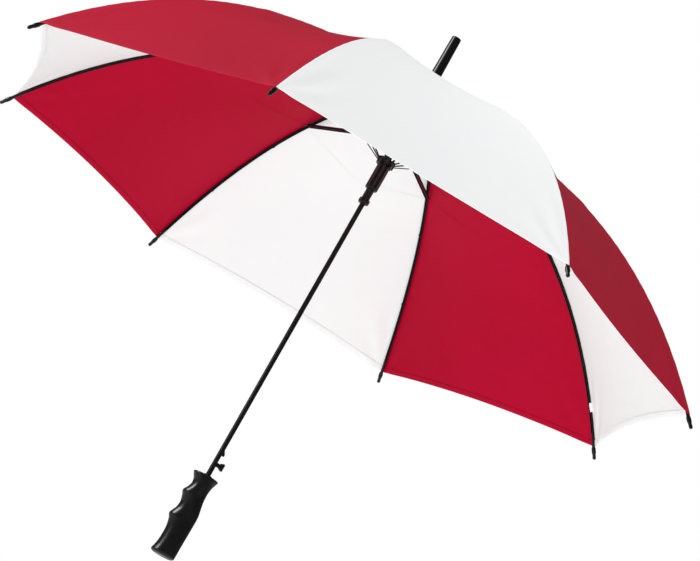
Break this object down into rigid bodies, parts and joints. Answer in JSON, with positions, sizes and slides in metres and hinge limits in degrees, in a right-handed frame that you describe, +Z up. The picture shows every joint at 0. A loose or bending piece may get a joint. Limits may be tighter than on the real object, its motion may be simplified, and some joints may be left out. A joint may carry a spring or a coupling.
{
  "type": "golf umbrella",
  "caption": "Long stick umbrella with a wide eight-panel canopy, folding ribs, stretchers and lifting links, a sliding runner, a push button and a moulded finger grip.",
  "frame": {"origin": "centre of the flat foot of the handle, on the shaft's axis", "axes": "+Z up the shaft to the ferrule; +X along rib 1, with the ribs every 45 degrees"},
  "size_m": [1.3004, 1.3004, 0.994],
  "materials": {
    "black_steel": "satin black",
    "black_plastic": "gloss black",
    "bright_steel": "plated",
    "red_cloth": "close-woven polyester",
    "white_cloth": "close-woven polyester"
  },
  "bodies": {
    "shaft_assembly": {"shaft": "black_steel", "handle_grip": "black_plastic", "handle_collar": "black_plastic", "ferrule": "black_plastic", "crown_washer": "black_plastic", "crown_notch": "black_plastic", "crown_notch_wire": "bright_steel", "open_stop_pin": "bright_steel", "canopy_gores_red": "red_cloth", "canopy_gores_white": "white_cloth"},
    "button": {"push_button": "black_plastic", "closing_catch": "black_steel", "catch_leaf_spring": "bright_steel"},
    "runner": {"runner": "black_plastic", "runner_wire": "bright_steel"},
    "sleeve": {"stretcher_sleeve": "black_plastic", "stretcher_sleeve_wire": "bright_steel"},
    "rib_1": {"rib_inner_1": "black_steel"},
    "rib_end_1": {"rib_outer_1": "black_steel", "rib_tip_1": "black_plastic"},
    "stretcher_arm_1": {"stretcher_1": "black_steel"},
    "lifting_link_1": {"link_1": "black_steel"},
    "rib_2": {"rib_inner_2": "black_steel"},
    "rib_end_2": {"rib_outer_2": "black_steel", "rib_tip_2": "black_plastic"},
    "stretcher_arm_2": {"stretcher_2": "black_steel"},
    "lifting_link_2": {"link_2": "black_steel"},
    "rib_3": {"rib_inner_3": "black_steel"},
    "rib_end_3": {"rib_outer_3": "black_steel", "rib_tip_3": "black_plastic"},
    "stretcher_arm_3": {"stretcher_3": "black_steel"},
    "lifting_link_3": {"link_3": "black_steel"},
    "rib_4": {"rib_inner_4": "black_steel"},
    "rib_end_4": {"rib_outer_4": "black_steel", "rib_tip_4": "black_plastic"},
    "stretcher_arm_4": {"stretcher_4": "black_steel"},
    "lifting_link_4": {"link_4": "black_steel"},
    "rib_5": {"rib_inner_5": "black_steel"},
    "rib_end_5": {"rib_outer_5": "black_steel", "rib_tip_5": "black_plastic"},
    "stretcher_arm_5": {"stretcher_5": "black_steel"},
    "lifting_link_5": {"link_5": "black_steel"},
    "rib_6": {"rib_inner_6": "black_steel"},
    "rib_end_6": {"rib_outer_6": "black_steel", "rib_tip_6": "black_plastic"},
    "stretcher_arm_6": {"stretcher_6": "black_steel"},
    "lifting_link_6": {"link_6": "black_steel"},
    "rib_7": {"rib_inner_7": "black_steel"},
    "rib_end_7": {"rib_outer_7": "black_steel", "rib_tip_7": "black_plastic"},
    "stretcher_arm_7": {"stretcher_7": "black_steel"},
    "lifting_link_7": {"link_7": "black_steel"},
    "rib_8": {"rib_inner_8": "black_steel"},
    "rib_end_8": {"rib_outer_8": "black_steel", "rib_tip_8": "black_plastic"},
    "stretcher_arm_8": {"stretcher_8": "black_steel"},
    "lifting_link_8": {"link_8": "black_steel"}
  },
  "joints": [
    {"name": "runner_slide", "type": "slide", "parent": "shaft_assembly", "child": "runner", "axis": [0, 0, 1], "range_m": [-0.488, 0], "stiffness_N_per_m": 40, "springref_m": 0.35, "deforming": ["canopy_gores_red", "canopy_gores_white"]},
    {"name": "sleeve_slide", "type": "slide", "parent": "shaft_assembly", "child": "sleeve", "axis": [0, 0, 1], "range_m": [-0.52755, 0]},
    {"name": "button_press", "type": "slide", "parent": "shaft_assembly", "child": "button", "axis": [-0.9537, -0.3007, 0], "range_m": [0, 0.0036], "stiffness_N_per_m": 400, "springref_m": -0.002},
    {"name": "rib_fold_1", "type": "hinge", "parent": "shaft_assembly", "child": "rib_1", "pos_m": [0.0105, 0, 0.891], "axis": [0, 1, 0], "range_deg": [0, 72.84]},
    {"name": "rib_flex_1", "type": "hinge", "parent": "rib_1", "child": "rib_end_1", "pos_m": [0.32482, 0, 0.81807], "axis": [0, 1, 0], "range_deg": [-24.88, 0]},
    {"name": "stretcher_swing_1", "type": "hinge", "parent": "sleeve", "child": "stretcher_arm_1", "pos_m": [0.0088, 0, 0.794], "axis": [0, 1, 0], "range_deg": [-81.01, 0]},
    {"name": "link_swing_1", "type": "hinge", "parent": "runner", "child": "lifting_link_1", "pos_m": [0.0134, 0, 0.743], "axis": [0, 1, 0], "range_deg": [-57.61, 0]},
    {"name": "rib_fold_2", "type": "hinge", "parent": "shaft_assembly", "child": "rib_2", "pos_m": [0.00743, 0.00743, 0.891], "axis": [-0.7071, 0.7071, 0], "range_deg": [0, 72.84]},
    {"name": "rib_flex_2", "type": "hinge", "parent": "rib_2", "child": "rib_end_2", "pos_m": [0.22968, 0.22968, 0.81807], "axis": [-0.7071, 0.7071, 0], "range_deg": [-24.88, 0]},
    {"name": "stretcher_swing_2", "type": "hinge", "parent": "sleeve", "child": "stretcher_arm_2", "pos_m": [0.00622, 0.00622, 0.794], "axis": [-0.7071, 0.7071, 0], "range_deg": [-81.01, 0]},
    {"name": "link_swing_2", "type": "hinge", "parent": "runner", "child": "lifting_link_2", "pos_m": [0.00948, 0.00948, 0.743], "axis": [-0.7071, 0.7071, 0], "range_deg": [-57.61, 0]},
    {"name": "rib_fold_3", "type": "hinge", "parent": "shaft_assembly", "child": "rib_3", "pos_m": [0, 0.0105, 0.891], "axis": [-1, 0, 0], "range_deg": [0, 72.84]},
    {"name": "rib_flex_3", "type": "hinge", "parent": "rib_3", "child": "rib_end_3", "pos_m": [0, 0.32482, 0.81807], "axis": [-1, 0, 0], "range_deg": [-24.88, 0]},
    {"name": "stretcher_swing_3", "type": "hinge", "parent": "sleeve", "child": "stretcher_arm_3", "pos_m": [0, 0.0088, 0.794], "axis": [-1, 0, 0], "range_deg": [-81.01, 0]},
    {"name": "link_swing_3", "type": "hinge", "parent": "runner", "child": "lifting_link_3", "pos_m": [0, 0.0134, 0.743], "axis": [-1, 0, 0], "range_deg": [-57.61, 0]},
    {"name": "rib_fold_4", "type": "hinge", "parent": "shaft_assembly", "child": "rib_4", "pos_m": [-0.00743, 0.00743, 0.891], "axis": [-0.7071, -0.7071, 0], "range_deg": [0, 72.84]},
    {"name": "rib_flex_4", "type": "hinge", "parent": "rib_4", "child": "rib_end_4", "pos_m": [-0.22968, 0.22968, 0.81807], "axis": [-0.7071, -0.7071, 0], "range_deg": [-24.88, 0]},
    {"name": "stretcher_swing_4", "type": "hinge", "parent": "sleeve", "child": "stretcher_arm_4", "pos_m": [-0.00622, 0.00622, 0.794], "axis": [-0.7071, -0.7071, 0], "range_deg": [-81.01, 0]},
    {"name": "link_swing_4", "type": "hinge", "parent": "runner", "child": "lifting_link_4", "pos_m": [-0.00948, 0.00948, 0.743], "axis": [-0.7071, -0.7071, 0], "range_deg": [-57.61, 0]},
    {"name": "rib_fold_5", "type": "hinge", "parent": "shaft_assembly", "child": "rib_5", "pos_m": [-0.0105, 0, 0.891], "axis": [0, -1, 0], "range_deg": [0, 72.84]},
    {"name": "rib_flex_5", "type": "hinge", "parent": "rib_5", "child": "rib_end_5", "pos_m": [-0.32482, 0, 0.81807], "axis": [0, -1, 0], "range_deg": [-24.88, 0]},
    {"name": "stretcher_swing_5", "type": "hinge", "parent": "sleeve", "child": "stretcher_arm_5", "pos_m": [-0.0088, 0, 0.794], "axis": [0, -1, 0], "range_deg": [-81.01, 0]},
    {"name": "link_swing_5", "type": "hinge", "parent": "runner", "child": "lifting_link_5", "pos_m": [-0.0134, 0, 0.743], "axis": [0, -1, 0], "range_deg": [-57.61, 0]},
    {"name": "rib_fold_6", "type": "hinge", "parent": "shaft_assembly", "child": "rib_6", "pos_m": [-0.00743, -0.00743, 0.891], "axis": [0.7071, -0.7071, 0], "range_deg": [0, 72.84]},
    {"name": "rib_flex_6", "type": "hinge", "parent": "rib_6", "child": "rib_end_6", "pos_m": [-0.22968, -0.22968, 0.81807], "axis": [0.7071, -0.7071, 0], "range_deg": [-24.88, 0]},
    {"name": "stretcher_swing_6", "type": "hinge", "parent": "sleeve", "child": "stretcher_arm_6", "pos_m": [-0.00622, -0.00622, 0.794], "axis": [0.7071, -0.7071, 0], "range_deg": [-81.01, 0]},
    {"name": "link_swing_6", "type": "hinge", "parent": "runner", "child": "lifting_link_6", "pos_m": [-0.00948, -0.00948, 0.743], "axis": [0.7071, -0.7071, 0], "range_deg": [-57.61, 0]},
    {"name": "rib_fold_7", "type": "hinge", "parent": "shaft_assembly", "child": "rib_7", "pos_m": [0, -0.0105, 0.891], "axis": [1, 0, 0], "range_deg": [0, 72.84]},
    {"name": "rib_flex_7", "type": "hinge", "parent": "rib_7", "child": "rib_end_7", "pos_m": [0, -0.32482, 0.81807], "axis": [1, 0, 0], "range_deg": [-24.88, 0]},
    {"name": "stretcher_swing_7", "type": "hinge", "parent": "sleeve", "child": "stretcher_arm_7", "pos_m": [0, -0.0088, 0.794], "axis": [1, 0, 0], "range_deg": [-81.01, 0]},
    {"name": "link_swing_7", "type": "hinge", "parent": "runner", "child": "lifting_link_7", "pos_m": [0, -0.0134, 0.743], "axis": [1, 0, 0], "range_deg": [-57.61, 0]},
    {"name": "rib_fold_8", "type": "hinge", "parent": "shaft_assembly", "child": "rib_8", "pos_m": [0.00743, -0.00743, 0.891], "axis": [0.7071, 0.7071, 0], "range_deg": [0, 72.84]},
    {"name": "rib_flex_8", "type": "hinge", "parent": "rib_8", "child": "rib_end_8", "pos_m": [0.22968, -0.22968, 0.81807], "axis": [0.7071, 0.7071, 0], "range_deg": [-24.88, 0]},
    {"name": "stretcher_swing_8", "type": "hinge", "parent": "sleeve", "child": "stretcher_arm_8", "pos_m": [0.00622, -0.00622, 0.794], "axis": [0.7071, 0.7071, 0], "range_deg": [-81.01, 0]},
    {"name": "link_swing_8", "type": "hinge", "parent": "runner", "child": "lifting_link_8", "pos_m": [0.00948, -0.00948, 0.743], "axis": [0.7071, 0.7071, 0], "range_deg": [-57.61, 0]}
  ],
  "couplings": [
    {"joint": "sleeve_slide", "follows": "runner_slide", "ratio": 1.0806},
    {"joint": "rib_fold_1", "follows": "runner_slide", "rad_per_m": -2.6046},
    {"joint": "rib_flex_1", "follows": "runner_slide", "rad_per_m": 0.88919},
    {"joint": "stretcher_swing_1", "follows": "runner_slide", "rad_per_m": 2.8967},
    {"joint": "link_swing_1", "follows": "runner_slide", "rad_per_m": 2.0597},
    {"joint": "rib_fold_2", "follows": "runner_slide", "rad_per_m": -2.6046},
    {"joint": "rib_flex_2", "follows": "runner_slide", "rad_per_m": 0.88919},
    {"joint": "stretcher_swing_2", "follows": "runner_slide", "rad_per_m": 2.8967},
    {"joint": "link_swing_2", "follows": "runner_slide", "rad_per_m": 2.0597},
    {"joint": "rib_fold_3", "follows": "runner_slide", "rad_per_m": -2.6046},
    {"joint": "rib_flex_3", "follows": "runner_slide", "rad_per_m": 0.88919},
    {"joint": "stretcher_swing_3", "follows": "runner_slide", "rad_per_m": 2.8967},
    {"joint": "link_swing_3", "follows": "runner_slide", "rad_per_m": 2.0597},
    {"joint": "rib_fold_4", "follows": "runner_slide", "rad_per_m": -2.6046},
    {"joint": "rib_flex_4", "follows": "runner_slide", "rad_per_m": 0.88919},
    {"joint": "stretcher_swing_4", "follows": "runner_slide", "rad_per_m": 2.8967},
    {"joint": "link_swing_4", "follows": "runner_slide", "rad_per_m": 2.0597},
    {"joint": "rib_fold_5", "follows": "runner_slide", "rad_per_m": -2.6046},
    {"joint": "rib_flex_5", "follows": "runner_slide", "rad_per_m": 0.88919},
    {"joint": "stretcher_swing_5", "follows": "runner_slide", "rad_per_m": 2.8967},
    {"joint": "link_swing_5", "follows": "runner_slide", "rad_per_m": 2.0597},
    {"joint": "rib_fold_6", "follows": "runner_slide", "rad_per_m": -2.6046},
    {"joint": "rib_flex_6", "follows": "runner_slide", "rad_per_m": 0.88919},
    {"joint": "stretcher_swing_6", "follows": "runner_slide", "rad_per_m": 2.8967},
    {"joint": "link_swing_6", "follows": "runner_slide", "rad_per_m": 2.0597},
    {"joint": "rib_fold_7", "follows": "runner_slide", "rad_per_m": -2.6046},
    {"joint": "rib_flex_7", "follows": "runner_slide", "rad_per_m": 0.88919},
    {"joint": "stretcher_swing_7", "follows": "runner_slide", "rad_per_m": 2.8967},
    {"joint": "link_swing_7", "follows": "runner_slide", "rad_per_m": 2.0597},
    {"joint": "rib_fold_8", "follows": "runner_slide", "rad_per_m": -2.6046},
    {"joint": "rib_flex_8", "follows": "runner_slide", "rad_per_m": 0.88919},
    {"joint": "stretcher_swing_8", "follows": "runner_slide", "rad_per_m": 2.8967},
    {"joint": "link_swing_8", "follows": "runner_slide", "rad_per_m": 2.0597}
  ]
}
